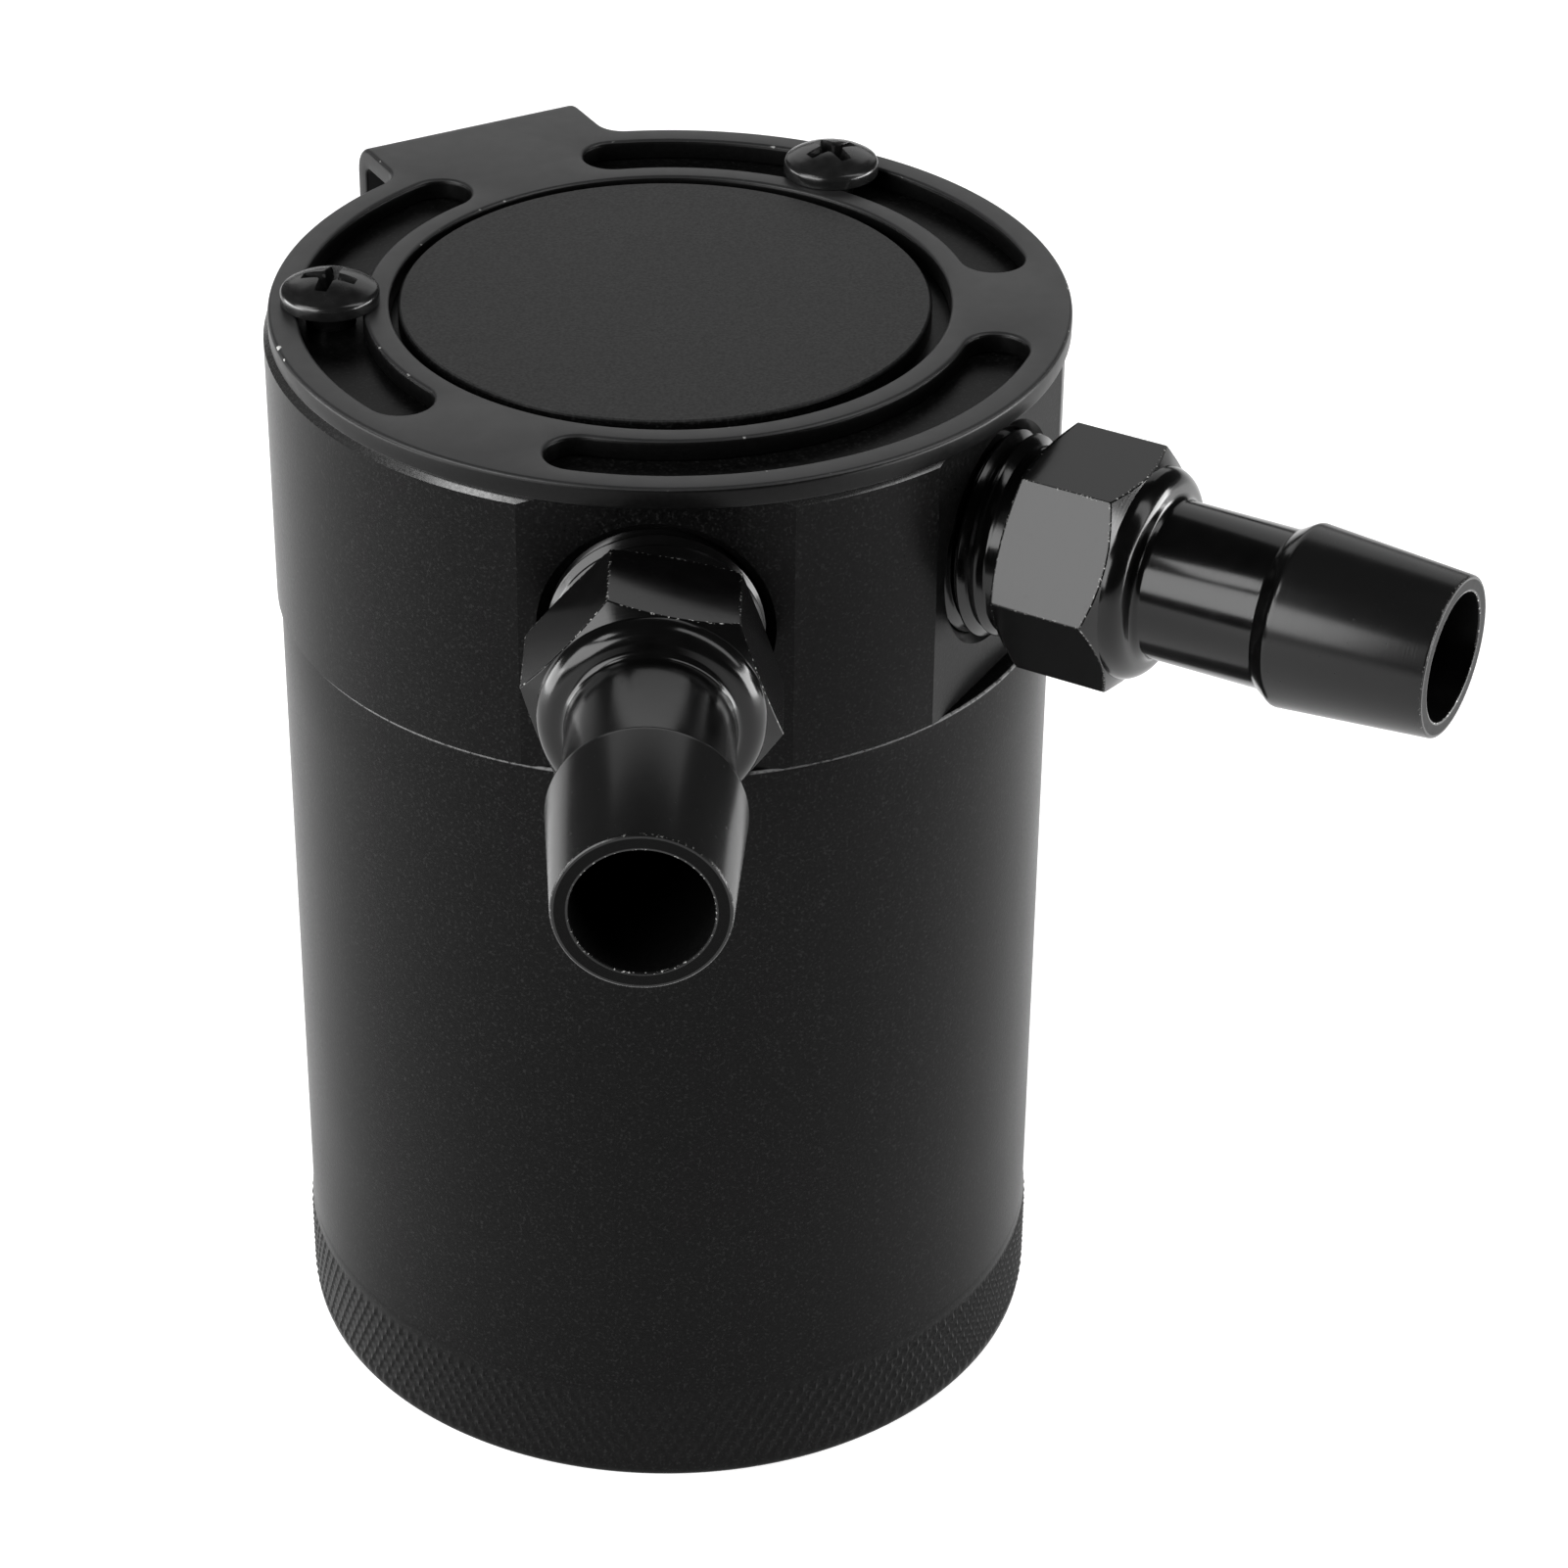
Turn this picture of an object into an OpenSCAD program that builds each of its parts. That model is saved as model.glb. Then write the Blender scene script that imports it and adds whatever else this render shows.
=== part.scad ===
// Baffled oil catch can: a turned head with two hose fittings, a screw-on can below it
// and a bent bracket clamped on top. Millimetres, +Z up, origin at the centre of the base.

/* [Can] */
// Height of the lower can, from its base to the seam under the head
can_h = 87.8; // [76:0.2:110]
// How far the can's wall stands back from the head's wall
seam_step = 0.4; // [0:0.1:0.8]
// Wall of the can below its thread
can_wall = 2.6; // [2:0.1:3]
// Thickness of the can's floor
can_floor = 4; // [2.5:0.5:8]
// Bevel round the foot of the can
base_bevel = 0.8; // [0.3:0.1:1.5]
// Round between the can's floor and its wall, inside
floor_round = 3; // [1:0.5:6]
// Height of the knurled grip band at the foot
grip_h = 12; // [6:0.5:20]
// How far the grip band stands proud of the wall
grip_proud = 0.12; // [0:0.02:0.3]

/* [Head] */
// Outside diameter of the head
head_d = 80; // [79:0.2:84]
// Height of the head, from the seam to the face that the bracket lies on
head_h = 29.6; // [28.8:0.2:36]
// Radial gap between the raised boss and the hole in the bracket's ring
boss_gap = 1.3; // [1:0.1:4]
// How far the boss stands below the bracket's upper face
boss_sink = 0.1; // [0:0.1:0.6]
// Bevel on the outer edges of the head
edge_bevel = 0.8; // [0.1:0.1:1.2]
// How deep the two port flats are milled into the head
flat_depth = 2.2; // [1.6:0.1:3]
// Depth of the hollow in the head's underside, above the seam
hollow_h = 2.2; // [1:0.2:3.6]
// Turn of the head against the bracket, about the can's axis
head_turn = 1.5; // [-8:0.5:8]

/* [Can thread and seal] */
// Wall of the can outside the thread between head and can
thread_wall = 3.35; // [3:0.05:3.8]
// Pitch of that thread
thread_pitch = 2; // [1:0.25:2.5]
// Depth of the thread's groove
thread_depth = 1; // [0.6:0.1:1.2]
// Number of turns that the thread holds
thread_turns = 4; // [3:1:6]
// Wall of the threaded spigot, from the thread's crest to the bore
spigot_wall = 5.2; // [4.2:0.1:6]
// Thickness of the sealing ring's cord
seal_cord_d = 2.4; // [2:0.1:2.6]
// Width of the collar between the head and the sealing ring's groove
seal_collar = 0.7; // [0.4:0.1:1.2]

/* [Ports] */
// How far the port axes sit above the middle of the head's height
port_lift = 0.7; // [0:0.1:1.2]
// Angle between the two ports, seen from above
port_spread = 61; // [58:1:80]
// Crest diameter of the port thread
port_thread_d = 20.7; // [19.6:0.1:21.2]
// How far the tapped hole runs on past the fitting's stub
tap_run = 0.6; // [0.2:0.1:0.8]
// Diameter of the drilling that leads on inwards from the tapped hole
port_drill_d = 12; // [11:0.5:14]
// Width of the countersink round the port's mouth
port_sink_w = 1; // [0.6:0.1:1.6]
// Place of the two upright passages, as a share of the way from the axis to the spigot's bore
passage_share = 0.645; // [0.6:0.005:0.65]
// Diameter of the upright passages
passage_d = 13; // [12:0.25:13.5]

/* [Hose fittings] */
// Gap between the port's flat and the near end of the hexagon
hex_gap = 4.8; // [4:0.1:8]
// Width of the hexagon across its flats
hex_af = 21.4; // [20:0.1:24]
// Length of the hexagon with its bevels
hex_len = 11.2; // [8:0.1:16]
// Turn of the front fitting's hexagon about its own axis
front_hex_turn = 49; // [0:1:60]
// Turn of the right fitting's hexagon about its own axis
right_hex_turn = 2; // [0:1:60]
// Length of the round shoulder between the hexagon and the tube
neck_len = 2.9; // [2.9:0.1:5]
// Radius of the shoulder's outer round
shoulder_round = 2.1; // [0.6:0.1:2.1]
// Radius of the hollow round where the shoulder meets the tube
neck_round = 0.8; // [0.4:0.1:0.9]
// Outside diameter of the tube that the hose grips
tube_d = 15.8; // [14.6:0.1:17]
// Length of the straight tube up to the barb
tube_len = 11.6; // [6:0.1:20]
// Largest diameter of the barb
barb_d = 18.2; // [17.4:0.1:20]
// Length of the barb's steep back
barb_back = 1.9; // [1:0.1:4]
// Length of the barb's long taper to the tip
barb_taper = 15.6; // [10:0.1:24]
// Outside diameter at the tip
tip_d = 15.9; // [14.6:0.1:17]
// Bore of the fitting
bore_d = 12.7; // [9:0.1:13]
// Pitch of the port thread
port_pitch = 1.81; // [1:0.01:2.5]
// Length of the threaded stub that enters the port
stub_in = 10.2; // [6:0.2:10.6]

/* [Bracket] */
// Thickness of the bracket's plate
plate_t = 2.2; // [1.5:0.1:3]
// How far the ring's edge stands out past the head's wall
ring_over = 0; // [-0.5:0.1:1]
// Width of the ring between its hole and its edge
ring_land = 12.1; // [11.6:0.1:14]
// Distance of the slots' middle line from the edge of the ring's hole
slot_inset = 5.9; // [5.2:0.1:7]
// Width of each slot
slot_w = 6.4; // [6.3:0.1:7]
// Angle that each slot's middle line covers
slot_arc = 85.2; // [60:0.2:95]
// How far the ring sits to the right of the head's middle
ring_shift_x = 0.4; // [-0.4:0.1:0.4]
// How far the ring sits towards the back of the head's middle
ring_shift_y = -0.4; // [-0.4:0.1:0.4]
// Width of the tab
tab_w = 24.8; // [18:0.2:36]
// How far the tab's outer face stands out past the ring
tab_stand = 8.2; // [6:0.2:20]
// How far the tab hangs below the bracket's upper face
tab_drop = 42; // [36:0.5:60]
// Outer radius of the bend
bend_r = 3.2; // [3.1:0.1:5]
// Round at the tab's lower corners
tab_round = 4; // [1:0.5:8]
// Round where the tab's sides run into the ring
tab_fillet = 3; // [1:0.5:6]
// Diameter of the two mounting holes
mount_hole_d = 6.6; // [4:0.1:8]
// Distance between the two mounting holes
mount_pitch = 20; // [12:0.5:22]
// Distance of the upper mounting hole below the bracket's upper face
mount_drop = 14; // [9:0.5:16]

/* [Bracket screws] */
// Diameter of the screws that clamp the bracket
screw_d = 5; // [4:0.1:5]
// Diameter of their pan heads
screw_head_d = 9.9; // [8.6:0.1:11]
// Height of their pan heads
screw_head_h = 2.6; // [2.4:0.1:4]
// Height of the upright rim of the pan head
screw_rim_h = 1.65; // [0.6:0.05:1.8]
// How deep the screws reach into the head
screw_grip = 8; // [4:0.5:10]
// Direction of the left tapped hole from the ring's middle
left_hole_angle = 152.5; // [140:0.5:158]
// Direction of the right tapped hole from the ring's middle
right_hole_angle = 31; // [20:0.5:40]
// Turn of the left screw's recess
left_cross_turn = 48; // [0:1:90]
// Turn of the right screw's recess
right_cross_turn = 5; // [0:1:90]
// Span of the cross recess
cross_span = 5.6; // [3.6:0.1:6]
// Width of the cross recess's arms
cross_w = 1.3; // [0.8:0.1:1.6]
// Depth of the cross recess
cross_depth = 2; // [1:0.1:2.6]

/* [Baffle] */
// Distance of the baffle plate below the hollow's ceiling
baffle_drop = 30; // [27:0.5:36]
// Gap between the baffle plate's edge and the can's wall
baffle_gap = 2.5; // [1.5:0.1:4]
// Thickness of the baffle plate
baffle_t = 2; // [1:0.1:3]
// Diameter of the drain holes in the baffle plate
drain_d = 3; // [2:0.1:4]
// Distance of the outermost drain holes inside the standoffs' circle
drain_inset = 4.4; // [4:0.1:8]
// Place of the three standoffs, as a share of the way from the axis to the spigot's bore
standoff_share = 0.84; // [0.81:0.005:0.86]
// Width of the standoffs across their flats
standoff_af = 6; // [5.4:0.1:7]
// Diameter of the standoffs' studs and of the baffle screws
stud_d = 4; // [3:0.1:4]
// Length of the studs that hold the standoffs in the head
stud_len = 6; // [4:0.5:8]
// How deep the baffle screws reach into the standoffs
baffle_screw_grip = 6; // [4:0.5:10]
// Diameter of the baffle screws' heads
baffle_screw_head_d = 7; // [6.2:0.1:8]
// Height of the baffle screws' heads
baffle_screw_head_h = 2.4; // [1.8:0.1:3]
// Diameter of the spring washers
washer_d = 7; // [6:0.1:8]
// Thickness of the spring washers
washer_t = 1; // [0.6:0.1:1.4]

/* [Filter and inlet tube] */
// Gap between the sintered filter cup and the baffle plate
filter_gap = 2; // [1:0.5:12]
// Diameter of the filter cup at its base
filter_d = 13.6; // [12:0.1:15]
// Diameter of the filter cup at its round end
filter_tip_d = 12; // [10:0.1:13]
// Wall of the filter cup
filter_wall = 2.6; // [1.6:0.1:3.2]
// Width across the flats of the filter's hexagon
filter_af = 16; // [15:0.2:17]
// Thickness of the filter's hexagon
filter_hex_h = 3; // [2:0.1:4]
// Length of the nipple above the filter's hexagon
nipple_len = 6; // [4:0.2:6.2]
// Bore of the nipple
nipple_bore_d = 6; // [3:0.1:6.4]
// Length of the spigot that the filter cup sits on
filter_seat = 3; // [2:0.2:5]
// How far the inlet tube hangs below the hollow's ceiling
inlet_drop = 20; // [10:0.5:26]
// How far the inlet tube is pressed up into the head
inlet_press = 6; // [3:0.2:6.2]
// Wall of the inlet tube
inlet_wall = 1.2; // [0.8:0.1:1.6]

/* [Clearances] */
// Radial gap in the can's thread and round the sealing ring
turn_gap = 0.05; // [0.02:0.01:0.1]
// Radial gap round the fittings, screws, studs and tubes in their holes
seat_gap = 0.04; // [0.02:0.01:0.1]

/* [Hidden] */
$fn = 96;

// Overlap that lets one cut run clear past a face
past = 1;

// Heights
seam_z = can_h;
head_top = seam_z + head_h;
plate_top = head_top + plate_t;
port_z = seam_z + head_h / 2 + port_lift;
ceiling_z = seam_z + hollow_h;
baffle_top = ceiling_z - baffle_drop;

// Radii of the can and the head
head_r = head_d / 2;
can_r = head_r - seam_step;
can_bore_r = can_r - can_wall;
thread_bore_r = can_r - thread_wall;
thread_r = thread_bore_r - turn_gap;
spigot_bore_r = thread_r - spigot_wall;

// Sealing ring: it lies in a groove of the spigot and against a smooth counterbore
seal_groove_h = seal_cord_d + 0.3;
seal_bore_r = thread_bore_r + 0.55;
seal_out_r = seal_bore_r - turn_gap;
seal_mid_r = seal_out_r - seal_cord_d / 2;
seal_groove_r = seal_out_r - seal_cord_d - turn_gap;
seal_z = seam_z - seal_collar - seal_groove_h / 2;
thread_top = seam_z - seal_collar - seal_groove_h - 0.6;
thread_len = thread_turns * thread_pitch;
spigot_bottom = thread_top - thread_len - 0.6;
counterbore_z = thread_top + 0.2;

// Ports
port_angles = [-90 + head_turn - port_spread / 2, -90 + head_turn + port_spread / 2];
flat_r = head_r - flat_depth;
tap_r = port_thread_d / 2 + seat_gap;
port_tap = stub_in + tap_run;
tap_end = flat_r - port_tap;
passage_r = spigot_bore_r * passage_share;
passage_hole_r = passage_d / 2;
drill_end = passage_r - port_drill_d / 2;

// Fitting, measured along its own axis from the near end of the hexagon
hex_bevel = 0.55;
thread_relief = 1.2;
stub_end = hex_gap + stub_in;
fitting_base = flat_r + hex_gap;
neck_end = hex_len + neck_len;
tube_end = neck_end + tube_len;
barb_top = tube_end + barb_back;
tip_end = barb_top + barb_taper;
tube_r = tube_d / 2;
barb_r = barb_d / 2;
tip_r = tip_d / 2;
fitting_bore_r = bore_d / 2;
port_tooth = 0.9;

// Bracket
ring_r = head_r + ring_over;
ring_hole_r = ring_r - ring_land;
boss_r = ring_hole_r - boss_gap;
slot_r = ring_hole_r + slot_inset;
slot_end_r = slot_w / 2 + 0.05;
slot_angles = [30, 150, 270];
screw_angles = [left_hole_angle + head_turn, right_hole_angle + head_turn];
cross_turns = [left_cross_turn, right_cross_turn];
tap_hole_r = screw_d / 2 + seat_gap;
bend_in_r = bend_r - plate_t;
tab_reach = ring_r + tab_stand;
plate_end = tab_reach - bend_r;

// Baffle
baffle_r = can_bore_r - baffle_gap;
standoff_r = spigot_bore_r * standoff_share;
standoff_angles = [90, 200, 340];
stud_hole_r = stud_d / 2 + seat_gap;
standoff_hole = baffle_screw_grip + 2;
drain_counts = [6, 12, 18];
drain_ring = (standoff_r - drain_inset) / len(drain_counts);

// Filter and inlet tube
filter_hex_z = ceiling_z - filter_hex_h;
filter_len = filter_hex_z - baffle_top - filter_gap;
nipple_r = passage_hole_r - seat_gap;
cup_bore_r = filter_d / 2 - filter_wall;
inlet_r = passage_hole_r - seat_gap;

// Colours
black_anodised = [0.10, 0.10, 0.105];
black_gloss = [0.06, 0.06, 0.065];
black_coat = [0.13, 0.13, 0.135];
black_oxide = [0.09, 0.09, 0.09];
seal_rubber = [0.05, 0.05, 0.05];
bare_aluminium = [0.75, 0.76, 0.78];
bronze_grain = [0.62, 0.44, 0.22];
yellow_brass = [0.78, 0.62, 0.28];
zinc_plate = [0.70, 0.71, 0.73];

// Points on a circle's arc, from angle a0 to a1
function arc(cx, cy, r, a0, a1, n = 8) =
  [for (i = [0 : n]) let (a = a0 + (a1 - a0) * i / n) [cx + r * cos(a), cy + r * sin(a)]];

// Saw-tooth rings of a thread, upwards from z0
function teeth(z0, crest_r, depth, pitch, count) =
  [for (i = [0 : count - 1]) each [
    [crest_r - depth, z0 + pitch * (i + 0.08)],
    [crest_r, z0 + pitch * (i + 0.44)],
    [crest_r, z0 + pitch * (i + 0.56)],
    [crest_r - depth, z0 + pitch * (i + 0.92)]
  ]];

// Puts a shape drawn along +Z onto a port's axis, with its local Y upwards
module on_port(angle, distance) {
  rotate([0, 0, angle])
    translate([distance, 0, port_z])
      rotate([90, 0, 90])
        children();
}

// Puts a shape at an upright passage
module at_passage(angle) {
  translate([passage_r * cos(angle), passage_r * sin(angle), 0])
    children();
}

// Puts a shape at a bracket screw, on the circle that the slots follow
module at_screw(index) {
  translate([ring_shift_x, ring_shift_y, 0])
    rotate([0, 0, screw_angles[index]])
      translate([slot_r, 0, 0])
        children();
}

module at_standoff(index) {
  rotate([0, 0, standoff_angles[index] + head_turn])
    translate([standoff_r, 0, 0])
      children();
}

// Turned cup with a knurled band at the foot and a thread bore at the mouth
module can_body() {
  grip_r = can_r + grip_proud;
  color(black_anodised)
    rotate_extrude()
      polygon(concat(
        [
          [0, 0],
          [grip_r - base_bevel, 0],
          [grip_r, base_bevel],
          [grip_r, grip_h - grip_proud],
          [can_r, grip_h],
          [can_r, seam_z - 0.3],
          [can_r - 0.3, seam_z],
          [seal_bore_r + 0.3, seam_z],
          [seal_bore_r, seam_z - 0.3],
          [seal_bore_r, counterbore_z],
          [thread_bore_r, counterbore_z - 0.5],
          [thread_bore_r, spigot_bottom - 1],
          [can_bore_r, spigot_bottom - 2]
        ],
        arc(can_bore_r - floor_round, can_floor + floor_round, floor_round, 0, -90),
        [[0, can_floor]]
      ));
}

// Rubber ring that closes the joint between can and head
module can_seal() {
  color(seal_rubber)
    translate([0, 0, seal_z])
      rotate_extrude()
        translate([seal_mid_r, 0])
          circle(d = seal_cord_d, $fn = 48);
}

// Half section of the head: wall, boss, spigot with groove and thread, hollow
module head_section() {
  boss_top = plate_top - boss_sink;
  groove_top = seam_z - seal_collar;
  groove_bottom = groove_top - seal_groove_h;
  polygon(concat(
    [
      [0, ceiling_z],
      [spigot_bore_r, ceiling_z],
      [spigot_bore_r, spigot_bottom],
      [thread_r - thread_depth, spigot_bottom]
    ],
    teeth(spigot_bottom + 0.6, thread_r, thread_depth, thread_pitch, thread_turns),
    [
      [thread_r - thread_depth, thread_top],
      [thread_r, thread_top],
      [thread_r, groove_bottom],
      [seal_groove_r, groove_bottom],
      [seal_groove_r, groove_top],
      [thread_r, groove_top],
      [thread_r, seam_z],
      [head_r - 0.3, seam_z],
      [head_r, seam_z + 0.3],
      [head_r, head_top - edge_bevel],
      [head_r - edge_bevel, head_top],
      [boss_r, head_top],
      [boss_r, boss_top - 0.3],
      [boss_r - 0.3, boss_top],
      [0, boss_top]
    ]
  ));
}

// One port: tapped hole with a countersunk mouth, drilling and upright passage
module port_cut(angle) {
  on_port(angle, tap_end)
    cylinder(r = tap_r, h = port_tap + past);
  on_port(angle, flat_r - port_sink_w)
    cylinder(r1 = tap_r, r2 = tap_r + port_sink_w + past, h = port_sink_w + past);
  on_port(angle, drill_end)
    cylinder(d = port_drill_d, h = tap_end - drill_end + past);
  at_passage(angle)
    translate([0, 0, ceiling_z - past])
      cylinder(r = passage_hole_r, h = port_z - ceiling_z + past);
}

module head_block() {
  color(black_anodised)
    difference() {
      rotate_extrude() head_section();
      for (angle = port_angles) {
        rotate([0, 0, angle])
          translate([flat_r, -head_r, seam_z - past / 4])
            cube([head_r, head_d, head_h + past]);
        port_cut(angle);
      }
      for (i = [0, 1])
        at_screw(i)
          translate([0, 0, head_top - screw_grip - 1.5])
            cylinder(r = tap_hole_r, h = screw_grip + 1.5 + past);
      for (i = [0 : 2])
        at_standoff(i)
          translate([0, 0, ceiling_z - past])
            cylinder(r = stud_hole_r, h = stud_len + 1 + past);
    }
}

// Arc slot between two end holes, in the plane of the plate
module arc_slot(angle) {
  reach = 2 * slot_r;
  half = slot_arc / 2;
  rotate(angle) {
    intersection() {
      difference() {
        circle(r = slot_r + slot_w / 2);
        circle(r = slot_r - slot_w / 2);
      }
      polygon([
        [0, 0],
        [reach * cos(half), -reach * sin(half)],
        [reach * cos(half), reach * sin(half)]
      ]);
    }
    for (side = [-1, 1])
      rotate(side * half)
        translate([slot_r, 0])
          circle(r = slot_end_r);
  }
}

// Hollow round between the tab's straight side and the ring's outer edge
module tab_corner() {
  fillet_x = tab_w / 2 + tab_fillet;
  fillet_y = sqrt(pow(ring_r + tab_fillet, 2) - pow(fillet_x, 2));
  on_ring = ring_r / (ring_r + tab_fillet);
  difference() {
    polygon([
      [tab_w / 2 - 1, fillet_y],
      [fillet_x, fillet_y],
      [fillet_x * on_ring, fillet_y * on_ring],
      [tab_w / 2 - 1, fillet_y * on_ring - 1]
    ]);
    translate([fillet_x, fillet_y])
      circle(r = tab_fillet, $fn = 48);
  }
}

// Flat blank of the bracket as far as the bend
module plate_outline() {
  difference() {
    union() {
      circle(r = ring_r);
      translate([-tab_w / 2, 0])
        square([tab_w, plate_end]);
      tab_corner();
      mirror([1, 0]) tab_corner();
    }
    circle(r = ring_hole_r);
    for (angle = slot_angles)
      arc_slot(angle);
  }
}

// Hanging tab, drawn upright: x across, y up from the tab's lower edge
module tab_outline() {
  straight = tab_drop - bend_r;
  difference() {
    union() {
      translate([-tab_w / 2, tab_round])
        square([tab_w, straight - tab_round]);
      translate([-tab_w / 2 + tab_round, 0])
        square([tab_w - 2 * tab_round, tab_round]);
      for (side = [-1, 1])
        translate([side * (tab_w / 2 - tab_round), tab_round])
          circle(r = tab_round, $fn = 48);
    }
    for (i = [0, 1])
      translate([0, tab_drop - mount_drop - i * mount_pitch])
        circle(d = mount_hole_d);
  }
}

module bend() {
  translate([-tab_w / 2, plate_end, plate_top - bend_r])
    rotate([90, 0, 90])
      intersection() {
        difference() {
          cylinder(r = bend_r, h = tab_w);
          translate([0, 0, -past])
            cylinder(r = bend_in_r, h = tab_w + 2 * past);
        }
        cube([bend_r + past, bend_r + past, tab_w]);
      }
}

// Steel plate with a slotted ring, bent down behind the can
module bracket() {
  color(black_coat)
    translate([ring_shift_x, ring_shift_y, 0]) {
      translate([0, 0, head_top])
        linear_extrude(plate_t) plate_outline();
      bend();
      translate([0, tab_reach, plate_top - tab_drop])
        rotate([90, 0, 0])
          linear_extrude(plate_t) tab_outline();
    }
}

// Pan head with an upright rim and a crowned top, seated at z = 0
module pan_head(head_dia, height, rim) {
  edge = head_dia / 2;
  crown = height - rim;
  rotate_extrude()
    polygon(concat(
      [[0, 0], [edge - 0.15, 0], [edge, 0.15]],
      [for (i = [0 : 2]) let (a = 35 * i)
        [edge - 0.25 + 0.25 * cos(a), rim - 0.25 + 0.25 * sin(a)]],
      [for (i = [1 : 8]) let (out = 1 - i / 8)
        [(edge - 0.2) * out, rim + crown * (1 - out * out)]]
    ));
}

module cross_recess(height, depth) {
  for (turn = [0, 90])
    rotate([0, 0, turn])
      translate([-cross_span / 2, -cross_w / 2, height - depth])
        cube([cross_span, cross_w, depth + past]);
  translate([0, 0, height - depth])
    cylinder(d = cross_w * 1.8, h = depth + past, $fn = 24);
}

// Pan-head machine screw through the bracket's slot into the head
module bracket_screw(index) {
  tip_bevel = 0.5;
  shank_r = screw_d / 2;
  color(black_oxide)
    at_screw(index)
      translate([0, 0, plate_top]) {
        difference() {
          pan_head(screw_head_d, screw_head_h, screw_rim_h);
          rotate([0, 0, cross_turns[index] - screw_angles[index]])
            cross_recess(screw_head_h, cross_depth);
        }
        translate([0, 0, -plate_t - screw_grip]) {
          translate([0, 0, tip_bevel])
            cylinder(r = shank_r, h = plate_t + screw_grip - tip_bevel + 0.2);
          cylinder(r1 = shank_r - tip_bevel, r2 = shank_r, h = tip_bevel);
        }
      }
}

// Hexagon with a turned bevel at both ends, from z = 0
module bevelled_hex(af, length, near_bevel, far_bevel) {
  corner = af / (2 * cos(30));
  bevel_depth = corner - af / 2;
  intersection() {
    cylinder(r = corner, h = length, $fn = 6);
    rotate_extrude()
      polygon([
        [0, 0],
        [af / 2 - 0.1, 0],
        [corner, near_bevel],
        [corner, length - far_bevel],
        [corner - bevel_depth - 0.05, length],
        [0, length]
      ]);
  }
}

// Half section of the turned parts of a fitting, without its bore
module fitting_section() {
  stub_r = port_thread_d / 2;
  collar_r = hex_af / 2 - 0.1;
  tooth_count = floor((stub_end - thread_relief - 0.6) / port_pitch);
  teeth_z = -thread_relief - tooth_count * port_pitch;
  polygon(concat(
    [
      [fitting_bore_r - 0.5, -stub_end],
      [stub_r - port_tooth - 0.5, -stub_end],
      [stub_r - port_tooth, -stub_end + 0.5]
    ],
    teeth(teeth_z, stub_r, port_tooth, port_pitch, tooth_count),
    [
      [stub_r - port_tooth, -thread_relief],
      [stub_r - port_tooth, 0.5],
      [collar_r, 0.5],
      [collar_r, hex_len + 0.1]
    ],
    arc(collar_r - shoulder_round, hex_len + 0.1, shoulder_round, 0, 75),
    arc(tube_r + neck_round, neck_end, neck_round, -105, -180),
    [
      [tube_r, tube_end],
      [barb_r - 0.25, barb_top - 0.3],
      [barb_r, barb_top + 0.2],
      [tip_r, tip_end - 0.3],
      [tip_r - 0.3, tip_end],
      [fitting_bore_r - 0.5, tip_end]
    ]
  ));
}

// Hose fitting turned from hexagon bar, clear through its length
module hose_fitting(angle, hex_turn) {
  color(black_gloss)
    on_port(angle, fitting_base)
      difference() {
        union() {
          rotate_extrude() fitting_section();
          rotate([0, 0, hex_turn])
            bevelled_hex(hex_af, hex_len, hex_bevel, 2 * hex_bevel);
        }
        translate([0, 0, -stub_end - past])
          cylinder(r = fitting_bore_r, h = stub_end + tip_end + 2 * past);
      }
}

// Plain tube pressed into the inlet's passage
module inlet_tube() {
  color(bare_aluminium)
    at_passage(port_angles[0])
      translate([0, 0, ceiling_z - inlet_drop])
        difference() {
          cylinder(r = inlet_r, h = inlet_drop + inlet_press);
          translate([0, 0, -past])
            cylinder(r = inlet_r - inlet_wall, h = inlet_drop + inlet_press + 2 * past);
        }
}

// Brass hexagon with a nipple for the head and a spigot for the filter cup
module filter_base() {
  color(yellow_brass)
    at_passage(port_angles[1])
      difference() {
        union() {
          translate([0, 0, ceiling_z - 0.2])
            cylinder(r = nipple_r, h = nipple_len + 0.2);
          translate([0, 0, filter_hex_z])
            rotate([0, 0, port_angles[1] + 30])
              bevelled_hex(filter_af, filter_hex_h, 0.4, 0.4);
          translate([0, 0, filter_hex_z - filter_seat])
            cylinder(r = cup_bore_r - seat_gap, h = filter_seat + 0.2);
        }
        translate([0, 0, filter_hex_z - filter_seat - past])
          cylinder(d = nipple_bore_d, h = filter_seat + filter_hex_h + nipple_len + 2 * past);
      }
}

// Sintered bronze cup, closed and rounded at its lower end
module filter_cup() {
  base_r = filter_d / 2;
  end_r = filter_tip_d / 2;
  color(bronze_grain)
    at_passage(port_angles[1])
      translate([0, 0, filter_hex_z - filter_len])
        rotate_extrude()
          polygon(concat(
            [[0, 0]],
            arc(end_r - 2.5, 2.5, 2.5, -90, 0),
            [[base_r, filter_len], [cup_bore_r, filter_len]],
            [[cup_bore_r, filter_len - filter_seat - 1], [end_r - filter_wall, 4]],
            [[0, 4]]
          ));
}

// Perforated disc that stops the oil from splashing up to the filter
module baffle_plate() {
  color(bare_aluminium)
    difference() {
      translate([0, 0, baffle_top - baffle_t])
        cylinder(r = baffle_r, h = baffle_t);
      for (ring = [0 : 2])
        for (i = [0 : drain_counts[ring] - 1])
          rotate([0, 0, head_turn + 360 * (i + 0.5) / drain_counts[ring]])
            translate([drain_ring * (ring + 1), 0, baffle_top - baffle_t - past])
              cylinder(d = drain_d, h = baffle_t + 2 * past, $fn = 24);
      for (i = [0 : 2])
        at_standoff(i)
          translate([0, 0, baffle_top - baffle_t - past])
            cylinder(r = stud_hole_r, h = baffle_t + 2 * past);
    }
}

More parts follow.
